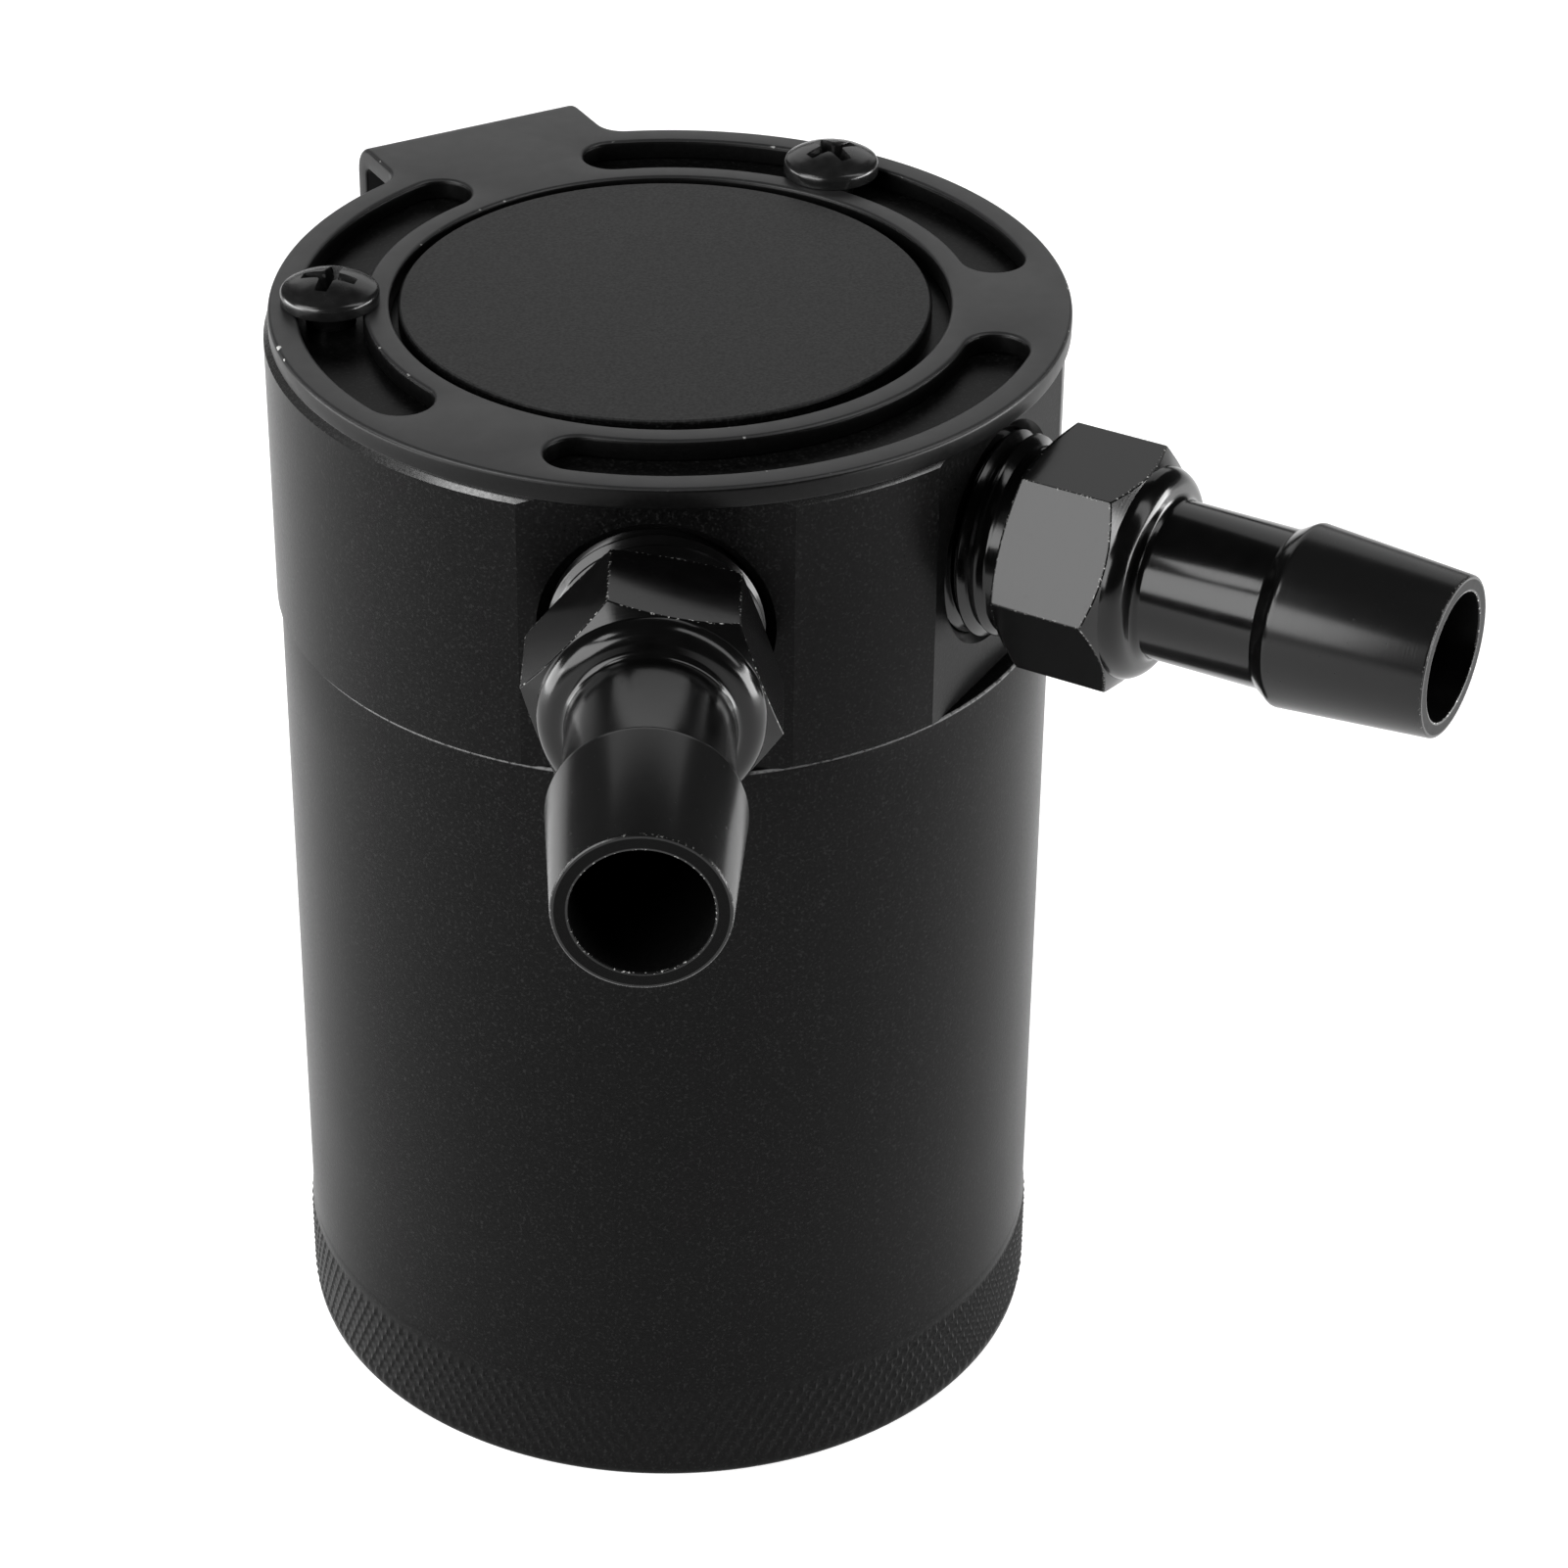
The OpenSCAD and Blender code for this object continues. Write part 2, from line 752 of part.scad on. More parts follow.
// Hexagonal standoff with a stud at its top and a tapped hole below
module standoff(index) {
  color(zinc_plate)
    at_standoff(index)
      difference() {
        union() {
          translate([0, 0, baffle_top])
            bevelled_hex(standoff_af, baffle_drop, 0.3, 0.3);
          translate([0, 0, ceiling_z - 0.2])
            cylinder(d = stud_d, h = stud_len + 0.2);
        }
        translate([0, 0, baffle_top - past])
          cylinder(r = stud_hole_r, h = standoff_hole + past);
      }
}

// Small pan-head screw that holds the baffle plate from below
module baffle_screw(index) {
  head_z = baffle_top - baffle_t - washer_t;
  color(zinc_plate)
    at_standoff(index) {
      translate([0, 0, head_z])
        mirror([0, 0, 1])
          difference() {
            pan_head(baffle_screw_head_d, baffle_screw_head_h, 0.7);
            translate([0, 0, baffle_screw_head_h - 1.3])
              translate([-1.8, -0.4, 0])
                cube([3.6, 0.8, 1.3 + past]);
          }
      translate([0, 0, head_z - 0.2])
        cylinder(d = stud_d, h = washer_t + baffle_t + baffle_screw_grip + 0.2);
    }
}

// Split spring washer under the baffle screw's head
module lock_washer(index) {
  color(zinc_plate)
    at_standoff(index)
      translate([0, 0, baffle_top - baffle_t - washer_t])
        difference() {
          cylinder(d = washer_d, h = washer_t);
          translate([0, 0, -past])
            cylinder(r = stud_hole_r, h = washer_t + 2 * past);
          translate([0, -0.3, -past])
            cube([washer_d, 0.6, washer_t + 2 * past]);
        }
}

can_body();
can_seal();
head_block();
bracket();
bracket_screw(0);  // bracket_screw_left
bracket_screw(1);  // bracket_screw_right
hose_fitting(port_angles[0], front_hex_turn);  // inlet_fitting
hose_fitting(port_angles[1], right_hex_turn);  // outlet_fitting
inlet_tube();
filter_base();
filter_cup();
baffle_plate();
standoff(0);  // standoff_1
standoff(1);  // standoff_2
standoff(2);  // standoff_3
baffle_screw(0);  // baffle_screw_1
baffle_screw(1);  // baffle_screw_2
baffle_screw(2);  // baffle_screw_3
lock_washer(0);  // lock_washer_1
lock_washer(1);  // lock_washer_2
lock_washer(2);  // lock_washer_3
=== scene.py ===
import math

import bmesh
import bpy
from mathutils import Euler, Matrix, Vector, geometry


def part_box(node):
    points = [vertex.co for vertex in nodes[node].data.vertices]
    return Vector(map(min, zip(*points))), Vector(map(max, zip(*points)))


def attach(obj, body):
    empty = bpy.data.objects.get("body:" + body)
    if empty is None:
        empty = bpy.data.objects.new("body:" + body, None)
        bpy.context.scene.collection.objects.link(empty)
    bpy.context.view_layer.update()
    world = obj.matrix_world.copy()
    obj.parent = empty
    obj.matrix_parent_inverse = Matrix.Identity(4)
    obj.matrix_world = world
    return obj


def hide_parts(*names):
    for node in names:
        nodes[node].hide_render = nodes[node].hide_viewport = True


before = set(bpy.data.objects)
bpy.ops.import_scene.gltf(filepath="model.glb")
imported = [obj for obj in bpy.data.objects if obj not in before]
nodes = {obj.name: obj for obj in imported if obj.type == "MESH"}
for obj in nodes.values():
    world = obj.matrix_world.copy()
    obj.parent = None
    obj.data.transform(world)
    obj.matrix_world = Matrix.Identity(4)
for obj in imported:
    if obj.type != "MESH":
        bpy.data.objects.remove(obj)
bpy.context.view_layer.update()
mm = 0.001

# The studio: a camera above the front fitting, looking down at the head, a pale floor that runs
# out to white, a large soft box at the front left with a small one above it, two low ones beside
# the can, a tall one high at the right and a wide panel behind.
camera_place = Vector((-192.49, -369.76, 326.49)) * mm
camera_heading = math.radians(29.204)
camera_dip = math.radians(32.394)
camera_roll = math.radians(0.676)


def placed(name, data):
    """A new object in the scene that holds the given mesh, lamp or camera."""
    made = bpy.data.objects.new(name, data)
    bpy.context.scene.collection.objects.link(made)
    return made


camera = placed("camera", bpy.data.cameras.new("camera"))
bpy.context.scene.camera = camera
camera.data.sensor_width = 36
camera.data.lens = 106.67
camera.data.clip_start = 0.01
camera.location = camera_place
facing = Euler((math.pi / 2 - camera_dip, 0, -camera_heading), "XYZ").to_matrix()
camera.rotation_mode = "QUATERNION"
camera.rotation_quaternion = (facing @ Matrix.Rotation(camera_roll, 3, "Z")).to_quaternion()

bpy.context.scene.view_settings.view_transform = "Standard"

world = bpy.data.worlds.new("studio")
world.use_nodes = True
background = world.node_tree.nodes["Background"]
background.inputs["Color"].default_value = (1, 1, 1, 1)
background.inputs["Strength"].default_value = 0.03
bpy.context.scene.world = world


def soft_box(name, heading, height, distance, size, watts):
    """A rectangular lamp that looks at the head. Its heading is seen from above, in degrees, and
    is 0 at the camera's side; its height and distance are in metres."""
    lamp = bpy.data.lights.new(name, "AREA")
    lamp.shape = "RECTANGLE"
    lamp.size, lamp.size_y = size
    lamp.energy = watts
    holder = placed(name, lamp)
    turn = camera_heading + math.radians(heading)
    target = Vector((0, 0, 80 * mm))
    holder.location = Vector((-math.sin(turn) * distance, -math.cos(turn) * distance, height))
    holder.rotation_mode = "QUATERNION"
    holder.rotation_quaternion = (target - holder.location).to_track_quat("-Z", "Y")


soft_box("box_left", 52, 0.46, 0.9, (0.9, 0.54), 12)
soft_box("box_high_left", 64, 0.95, 0.75, (0.34, 0.26), 2.3)
soft_box("box_low_left", 86, 0.1, 0.5, (0.5, 0.18), 3.0)
soft_box("box_right", -82, 0.75, 0.7, (0.25, 1.0), 3.0)
soft_box("box_low_right", -84, 0.1, 0.5, (0.5, 0.18), 4.6)
soft_box("panel_behind", 180, 0.62, 1.0, (1.15, 0.8), 2.6)


class Wire:
    """One output of a shader node, so that sums on masks are written as sums."""

    def __init__(self, tree, socket):
        self.tree = tree
        self.socket = socket

    def node(self, kind, settings, inputs, output=0):
        """Adds a node: first its settings, then the values or wires of its sockets."""
        made = self.tree.nodes.new("ShaderNode" + kind)
        for name, value in settings.items():
            setattr(made, name, value)
        for name, value in inputs.items():
            if isinstance(value, Wire):
                self.tree.links.new(value.socket, made.inputs[name])
            else:
                made.inputs[name].default_value = value
        return Wire(self.tree, made.outputs[output])

    def maths(self, operation, *values):
        return self.node("Math", {"operation": operation}, dict(enumerate(values)))

    def __add__(self, other):
        return self.maths("ADD", self, other)

    def __sub__(self, other):
        return self.maths("SUBTRACT", self, other)

    def __mul__(self, other):
        return self.maths("MULTIPLY", self, other)

    def __rsub__(self, other):
        return self.maths("SUBTRACT", other, self)

    __radd__ = __add__
    __rmul__ = __mul__


# The floor: matt white card. Camera, mirror and glass rays see it lifted to white, and the
# shadow under the can stays.
floor_half = 4.0
floor_drop = 0.2 * mm
floor_lift = 0.77
card_grey = 0.5
card = bpy.data.meshes.new("floor")
card.from_pydata(
    [(x * floor_half, y * floor_half, 0) for x, y in ((-1, -1), (1, -1), (1, 1), (-1, 1))],
    [],
    [(0, 1, 2, 3)],
)
floor = placed("floor", card)
floor.location.z = -floor_drop
white_card = bpy.data.materials.new("white_card")
white_card.use_nodes = True
tree = white_card.node_tree
tree.nodes.clear()
ray = tree.nodes.new("ShaderNodeLightPath")
kinds = ("Is Camera Ray", "Is Glossy Ray", "Is Transmission Ray")
from_camera, from_gloss, from_glass = (Wire(tree, ray.outputs[kind]) for kind in kinds)
seen = from_camera + from_gloss + from_glass
paper = seen.node("BsdfDiffuse", {}, {"Color": (card_grey, card_grey, card_grey, 1)})
glow = seen.node("Emission", {}, {"Color": (1, 1, 1, 1), "Strength": seen * floor_lift})
lit = seen.node("AddShader", {}, {0: paper, 1: glow})
tree.links.new(lit.socket, tree.nodes.new("ShaderNodeOutputMaterial").inputs["Surface"])
card.materials.append(white_card)

# The lower can: an aluminium cup, turned and anodised satin black, with a diamond knurl at the
# foot for the hand that screws it onto the head.
can_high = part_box("can_body")[1]
grip_r = can_high.x
grip_proud = 0.12 * mm
can_r = grip_r - grip_proud
seam_z = can_high.z
rim_round = 0.35 * mm
foot_round = 0.9 * mm
grip_h = 12 * mm
knurl_teeth = 171
knurl_lean = math.radians(28.7)
knurl_depth = 0.24 * mm
knurl_rise = 1.3
knurl_sink = 0.6
tooth_steps = 4
knurl_row = 2 * math.pi * grip_r / knurl_teeth / math.tan(knurl_lean) / tooth_steps
can_columns = knurl_teeth * tooth_steps
mouth_r = 36.8 * mm
thread_bore_r = 36.25 * mm
cavity_r = 37 * mm
inner_round = 3 * mm
can_floor = 4 * mm


def round_corner(cx, cz, radius, start, end, steps=4):
    """Points on a rounded corner of a turned outline, as (radius, height)."""
    turns = [math.radians(start + (end - start) * i / steps) for i in range(steps + 1)]
    return [(cx + radius * math.cos(a), cz + radius * math.sin(a)) for a in turns]


def meshed(name, form, sharp):
    """The mesh of a form, shaded smooth, with edges kept sharp above an angle in degrees."""
    mesh = bpy.data.meshes.new(name)
    form.to_mesh(mesh)
    form.free()
    mesh.shade_smooth()
    mesh.set_sharp_from_angle(angle=math.radians(sharp))
    return mesh


def turned(name, outline, columns, relief=None):
    """A mesh turned about the can's axis; relief(column, row) pushes a point outwards."""
    form = bmesh.new()
    rings = []
    for row, (radius, height) in enumerate(outline):
        if radius < 1e-9:
            rings.append([form.verts.new((0, 0, height))])
            continue
        ring = []
        for column in range(columns):
            angle = 2 * math.pi * column / columns
            reach = radius + (relief(column, row) if relief else 0)
            ring.append(form.verts.new((reach * math.cos(angle), reach * math.sin(angle), height)))
        rings.append(ring)
    for lower, upper in zip(rings, rings[1:]):
        for c in range(columns):
            d = (c + 1) % columns
            corners = [lower[c % len(lower)], lower[d % len(lower)]]
            corners += [upper[d % len(upper)], upper[c % len(upper)]]
            corners = [v for i, v in enumerate(corners) if v not in corners[:i]]
            form.faces.new(corners)
    return placed(name, meshed(name, form, 40))


knurl_start = 1.1 * mm
knurl_rows = int((grip_h - 0.5 * mm - knurl_start) / knurl_row)
foot = [(0, 0), (grip_r - 6 * mm, 0)]
foot += round_corner(grip_r - foot_round, foot_round, foot_round, -90, -10, 6)
knurl_first = len(foot)
knurl_last = knurl_first + knurl_rows
band = [(grip_r, knurl_start + knurl_row * i) for i in range(knurl_rows + 1)]
can_outline = (
    foot
    + band
    + [(can_r + 0.03 * mm, grip_h - 0.1 * mm), (can_r, grip_h + 0.15 * mm)]
    + [(can_r, seam_z * share) for share in (0.3, 0.6, 0.9)]
    + round_corner(can_r - rim_round, seam_z - rim_round, rim_round, 0, 90)
    + [(mouth_r, seam_z), (mouth_r, seam_z - 4 * mm), (thread_bore_r, seam_z - 4.5 * mm)]
    + [(thread_bore_r, seam_z - 14 * mm), (cavity_r, seam_z - 15 * mm)]
    + [(cavity_r, can_floor + inner_round)]
    + round_corner(cavity_r - inner_round, can_floor + inner_round, inner_round, 0, -90)
    + [(0, can_floor)]
)


def diamond(column, row):
    """Height of the knurl's diamonds, between two families of crossing grooves."""
    if not knurl_first < row < knurl_last:
        return 0
    phases = [((column + side * row) % tooth_steps) / tooth_steps for side in (1, -1)]
    ridges = [1 - 2 * abs(phase - 0.5) for phase in phases]
    return knurl_depth * (min(ridges) * knurl_rise - knurl_sink)


can = turned("lower_can", can_outline, can_columns, diamond)


def new_finish(name, **constants):
    """A material with its constant sockets set, its shader, and the wire of the place on the
    object in metres."""
    made = bpy.data.materials.new(name)
    made.use_nodes = True
    shader = made.node_tree.nodes["Principled BSDF"]
    for socket, value in constants.items():
        shader.inputs[socket.replace("_", " ")].default_value = value
    place = made.node_tree.nodes.new("ShaderNodeTexCoord")
    return made, shader, Wire(made.node_tree, place.outputs["Object"])


def grain(place, size, detail=2.0):
    """Noise of a given grain size, about 0 to 1."""
    return place.node("TexNoise", {}, {"Vector": place, "Scale": 1 / size, "Detail": detail})


def lead(wire, shader, socket):
    wire.tree.links.new(wire.socket, shader.inputs[socket])


def blend(mask, low, high):
    """A colour between two, by a mask; each end is a grey, a colour or a wire."""
    ends = []
    for end in (low, high):
        if isinstance(end, (int, float)):
            end = (end, end, end)
        ends.append(end if isinstance(end, Wire) else (*end, 1))
    sockets = {"Factor": mask, 6: ends[0], 7: ends[1]}
    return mask.node("Mix", {"data_type": "RGBA"}, sockets, output=2)


def bumped(height, strength, depth):
    """A normal that follows a height wire; the depth is in metres."""
    return height.node("Bump", {}, {"Strength": strength, "Distance": depth, "Height": height})


def slope(wire, low, high):
    """0 below low, 1 above high, and a straight rise between them."""
    return wire.node("MapRange", {}, {"Value": wire, "From Min": low, "From Max": high})


def height_of(place):
    return place.node("SeparateXYZ", {}, {"Vector": place}, output=2)


def satin_black(name):
    """Blasted and anodised black: nearly no colour, a fine grain, and a few lighter grains."""
    made, shader, place = new_finish(name, Specular_IOR_Level=0.065)
    speckle = grain(place, 0.35 * mm, 3.0)
    cloud = grain(place, 9 * mm)
    spark = slope(grain(place, 0.3 * mm, 1.0), 0.56, 0.74)
    lead(0.22 + 0.12 * speckle + 0.05 * cloud, shader, "Roughness")
    lead(bumped(speckle, 0.3, 0.03 * mm), shader, "Normal")
    colour = blend(0.35 * speckle + 0.65 * spark, 0.0003, 0.014)
    return made, shader, place, colour


can_satin, shader, place, colour = satin_black("satin_black_can")
rise = height_of(place) - seam_z
# A thin band just under the can's top edge is painted light grey in broken dashes: a painted
# highlight for the glint on the rim's round.
on_rim = slope(rise, -0.3 * mm, -0.15 * mm) * slope(rise, -0.01 * mm, -0.03 * mm)
rim_highlight_paint = on_rim * slope(grain(place, 0.6 * mm), 0.25, 0.5)
lead(blend(rim_highlight_paint, colour, 0.15), shader, "Base Color")
can.data.materials.append(can_satin)
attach(can, "can")
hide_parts("can_body")

# The sealing ring: a round rubber cord in the groove of the head's spigot, hidden until the can
# is screwed off.
rubber, shader, place = new_finish("black_rubber", Specular_IOR_Level=0.3)
bloom = grain(place, 1.5 * mm)
lead(blend(bloom, 0.012, 0.03), shader, "Base Color")
lead(0.55 + 0.2 * bloom, shader, "Roughness")


def coated(name, finish):
    """Gives a CAD piece its material."""
    nodes[name].data.materials.clear()
    nodes[name].data.materials.append(finish)


coated("can_seal", rubber)

# The head: turned from bar and anodised with the can, with two milled flats for the hose
# fittings and a raised boss inside the bracket's ring. The bevel at its edge was turned bright.
boss_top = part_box("head_block")[1].z
head_top = seam_z + 29.6 * mm
bevel_low = head_top - 0.84 * mm
head_satin, shader, place, colour = satin_black("satin_black_head")
height = height_of(place)
coarse = grain(place, 0.3 * mm, 1.0)
# The boss's top face is painted a lighter grey with a coarse grain: painted light for the brighter
# reflection on it.
boss_top_light_paint = slope(height, boss_top - 0.2 * mm, boss_top - 0.1 * mm)
lead(blend(boss_top_light_paint, colour, blend(coarse, 0.004, 0.038)), shader, "Base Color")
face_normal = place.node("NewGeometry", {}, {}, output=3)
lean = height_of(face_normal)
on_bevel = slope(height, bevel_low, bevel_low + 0.05 * mm)
on_bevel = on_bevel * slope(height, head_top + 0.2 * mm, head_top + 0.1 * mm)
on_bevel = on_bevel * slope(lean, 0.5, 0.6) * slope(lean, 0.9, 0.8)
bright_sockets = {
    "Base Color": (0.012, 0.012, 0.012, 1),
    "Roughness": 0.14 + 0.22 * coarse,
    "Specular IOR Level": 0.8,
}
bright_turned = place.node("BsdfPrincipled", {}, bright_sockets)
satin_out = Wire(place.tree, shader.outputs[0])
edged = place.node("MixShader", {}, {0: on_bevel, 1: satin_out, 2: bright_turned})
head_out = place.tree.nodes["Material Output"]
place.tree.links.new(edged.socket, head_out.inputs["Surface"])
coated("head_block", head_satin)

# The inlet tube and the baffle plate: bare aluminium, cut from tube and sheet, inside the can.
bare_aluminium, shader, place = new_finish("bare_aluminium", Metallic=1.0)
scratch = grain(place, 0.8 * mm, 4.0)
lead(blend(scratch, (0.62, 0.63, 0.65), (0.8, 0.81, 0.83)), shader, "Base Color")
lead(0.28 + 0.2 * scratch, shader, "Roughness")
for name in ("inlet_tube", "baffle_plate"):
    coated(name, bare_aluminium)

# The filter: a turned brass base with a hexagon, pressed into the outlet's passage, and a cup of
# sintered bronze grains on its spigot.
yellow_brass, shader, place = new_finish("yellow_brass", Metallic=1.0)
tarnish = grain(place, 3 * mm, 3.0)
lead(blend(tarnish, (0.55, 0.38, 0.14), (0.8, 0.62, 0.28)), shader, "Base Color")
lead(0.22 + 0.18 * tarnish, shader, "Roughness")
coated("filter_base", yellow_brass)
bronze_grains, shader, place = new_finish("bronze_grains", Metallic=0.8)
beads = place.node("TexVoronoi", {}, {"Vector": place, "Scale": 1 / (0.6 * mm)})
# The colour darkens from each grain's middle to its edges: painted shade in the pores between the
# grains.
lead(blend(beads, (0.6, 0.4, 0.18), (0.16, 0.09, 0.04)), shader, "Base Color")
lead(0.35 + 0.3 * beads, shader, "Roughness")
lead(bumped(1 - beads, 0.8, 0.2 * mm), shader, "Normal")
coated("filter_cup", bronze_grains)

# The standoffs, the small screws and the spring washers that carry the baffle plate: zinc-plated
# steel.
zinc, shader, place = new_finish("zinc_plate", Metallic=1.0)
spangle = grain(place, 1.2 * mm, 3.0)
lead(blend(spangle, (0.55, 0.56, 0.58), (0.75, 0.77, 0.8)), shader, "Base Color")
lead(0.25 + 0.15 * spangle, shader, "Roughness")
for kind in ("standoff", "baffle_screw", "lock_washer"):
    for number in (1, 2, 3):
        coated(f"{kind}_{number}", zinc)

# The bracket: one steel plate, punched to a ring with three arc slots and a tab, folded down
# behind the can, deburred and coated black. It lies on the head inside the two screws.
bracket_low, bracket_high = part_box("bracket")
plate_t = 2.2 * mm
plate_top = bracket_high.z
plate_low = plate_top - plate_t
ring_r = 40 * mm
ring_x = (bracket_low.x + bracket_high.x) / 2
ring_y = bracket_low.y + ring_r
tab_reach = bracket_high.y - ring_y
tab_half = 12.4 * mm
tab_end_z = bracket_low.z
tab_round = 4 * mm
tab_fillet = 3 * mm
bend_out = 3.2 * mm
bend_in = bend_out - plate_t
bend_mid = (bend_out + bend_in) / 2
fold_y = tab_reach - bend_out
fold_len = bend_mid * math.pi / 2
blank_end = fold_y + fold_len + (plate_top - bend_out - tab_end_z)
hole_r = 27.9 * mm
slot_r = 33.8 * mm
slot_half_w = 3.2 * mm
slot_half = math.radians(42.6)
slot_middles = [math.radians(a) for a in (30, 150, 270)]
bolt_r = 3.3 * mm
bolt_drops = (14 * mm, 34 * mm)
fold_rows = 10


def arc_points(cx, cy, radius, start, end, steps):
    turns = [start + (end - start) * i / steps for i in range(steps)]
    return [(cx + radius * math.cos(a), cy + radius * math.sin(a)) for a in turns]


def blank_loops(inset):
    """The blank's outlines, drawn in by inset: edge, hole, three slots and two bolt holes."""
    fillet_y = math.sqrt((ring_r + tab_fillet) ** 2 - (tab_half + tab_fillet) ** 2)
    meet = math.atan2(fillet_y, tab_half + tab_fillet)
    half, full = math.pi, 2 * math.pi
    side = tab_half - inset
    corner = tab_round - inset
    corner_y = blank_end - tab_round
    hollow = tab_fillet + inset
    hollow_x = tab_half + tab_fillet
    fold = [fold_y + fold_len * i / fold_rows for i in range(fold_rows + 1)]
    edge = arc_points(0, 0, ring_r - inset, half - meet, full + meet, 200)
    edge += arc_points(hollow_x, fillet_y, hollow, half + meet, half, 8)
    edge += [(side, fillet_y)] + [(side, y) for y in fold]
    edge += arc_points(tab_half - tab_round, corner_y, corner, 0, half / 2, 10)
    edge += arc_points(tab_round - tab_half, corner_y, corner, half / 2, half, 10)
    edge += [(-side, corner_y)] + [(-side, y) for y in reversed(fold)]
    edge += arc_points(-hollow_x, fillet_y, hollow, 0, -meet, 8)
    loops = [edge, arc_points(0, 0, hole_r + inset, 0, full, 160)]
    wide = slot_half_w + inset
    for middle in slot_middles:
        start, end = middle - slot_half, middle + slot_half
        start_x, start_y = slot_r * math.cos(start), slot_r * math.sin(start)
        end_x, end_y = slot_r * math.cos(end), slot_r * math.sin(end)
        slot = arc_points(0, 0, slot_r + wide, start, end, 60)
        slot += arc_points(end_x, end_y, wide, end, end + half, 16)
        slot += arc_points(0, 0, slot_r - wide, end, start, 60)
        slot += arc_points(start_x, start_y, wide, start + half, start + full, 16)
        loops.append(slot)
    for drop in bolt_drops:
        bolt_y = fold_y + fold_len + drop - bend_out
        loops.append(arc_points(0, bolt_y, bolt_r + inset, 0, full, 48))
    return loops


def folded(x, y, height):
    """Where a point of the flat blank ends up once the tab is folded down."""
    across = x + ring_x
    if y <= fold_y:
        return (across, y + ring_y, plate_low + height)
    turn = min((y - fold_y) / bend_mid, math.pi / 2)
    radius = bend_in + height
    past = max(0, y - fold_y - fold_len)
    return (
        across,
        ring_y + fold_y + radius * math.sin(turn),
        plate_top - bend_out + radius * math.cos(turn) - past,
    )


def odd_inside(point, loops):
    """True if the point lies inside an odd number of the loops, which is in the sheet."""
    x, y = point
    inside = False
    for loop in loops:
        for (ax, ay), (bx, by) in zip(loop, loop[1:] + loop[:1]):
            if (ay > y) != (by > y) and x < ax + (bx - ax) * (y - ay) / (by - ay):
                inside = not inside
    return inside


def sheet_faces(loops):
    """Triangles that fill the sheet between its outlines, with rows across the fold."""
    points = [p for loop in loops for p in loop]
    edges, first = [], 0
    for loop in loops:
        edges += [(first + i, first + (i + 1) % len(loop)) for i in range(len(loop))]
        first += len(loop)
    for i in range(fold_rows + 1):
        y = fold_y + fold_len * i / fold_rows
        points += [(tab_half * 0.8 * j / 4, y) for j in range(-4, 5)]
    made = geometry.delaunay_2d_cdt([Vector(p) for p in points], edges, [], 0, 1e-9)
    spots, triangles = made[0], made[2]
    kept = []
    for triangle in triangles:
        middle = sum((spots[i] for i in triangle), Vector((0, 0))) / 3
        if odd_inside(middle, loops):
            kept.append(triangle)
    return spots, kept


# The sheet's edge, as rows of (inset, height): a small round below, a larger one above.
top_round = 0.5 * mm
low_round = 0.25 * mm
profile = []
for a in (math.radians(step) for step in (0, 30, 60, 90)):
    profile.append((low_round * (1 - math.sin(a)), low_round * (1 - math.cos(a))))
for a in (math.radians(step) for step in range(0, 91, 18)):
    profile.append((top_round * (1 - math.cos(a)), plate_t - top_round * (1 - math.sin(a))))
# Rows below this count (the lower round, the upright side and the lower part of the top round)
# take the darker coat: painted shade on the sheet's edges.
shade_painted_rows = 6
worn_rows = (6, 7)
form = bmesh.new()
worn = form.verts.layers.float.new("worn")
layers = []
for row, (inset, height) in enumerate(profile):
    layer = []
    for loop in blank_loops(inset):
        layer.append([form.verts.new(folded(x, y, height)) for x, y in loop])
    for vert in (v for loop in layer for v in loop):
        vert[worn] = row in worn_rows
    layers.append(layer)
for row, (lower, upper) in enumerate(zip(layers, layers[1:])):
    for low_loop, high_loop in zip(lower, upper):
        for i in range(len(low_loop)):
            j = (i + 1) % len(low_loop)
            face = form.faces.new((low_loop[i], low_loop[j], high_loop[j], high_loop[i]))
            face.material_index = row < shade_painted_rows
for inset, height in (profile[0], profile[-1]):
    spots, triangles = sheet_faces(blank_loops(inset))
    corners = [form.verts.new(folded(p.x, p.y, height)) for p in spots]
    for t in triangles:
        form.faces.new([corners[i] for i in t])
bmesh.ops.remove_doubles(form, verts=form.verts, dist=1e-7)
bmesh.ops.recalc_face_normals(form, faces=form.faces)
bracket = placed("bracket_plate", meshed("bracket_plate", form, 50))
black_coat, shader, place = new_finish("black_coat", Specular_IOR_Level=0.4)
orange_peel = grain(place, 1.6 * mm)
coat = blend(grain(place, 0.4 * mm, 3.0), (0.011, 0.011, 0.0113), (0.018, 0.018, 0.0183))


def worn_edge(place, size, least):
    """Nicks of a given size along the rows of the mesh that are marked as worn."""
    edge = place.node("Attribute", {"attribute_name": "worn"}, {}, output=2)
    return edge * slope(grain(place, size, 1.0), least, least + 0.06)


nicks = 0.6 * worn_edge(place, 0.8 * mm, 0.73)
# Spots where the coat is chipped off the ring's edges: angle about the ring's middle, distance
# from it in mm and size in mm.
chips = (
    (168.6, 39.8, 0.42),
    (172.3, 40.0, 0.3),
    (-114.8, 27.8, 0.3),
    (-110.6, 27.9, 0.16),
    (-106.3, 28.3, 0.22),
    (-103.9, 37.5, 0.22),
)
chip_z = plate_top - 0.2 * mm
for angle, reach, size in chips:
    across = ring_x + reach * mm * math.cos(math.radians(angle))
    back = ring_y + reach * mm * math.sin(math.radians(angle))
    spot = {0: place, 1: (across, back, chip_z)}
    away = place.node("VectorMath", {"operation": "DISTANCE"}, spot, output=1)
    ragged = away + 0.3 * mm * (grain(place, 0.3 * mm, 1.0) - 0.5)
    nicks = nicks + slope(ragged, size * mm, (size - 0.08) * mm)
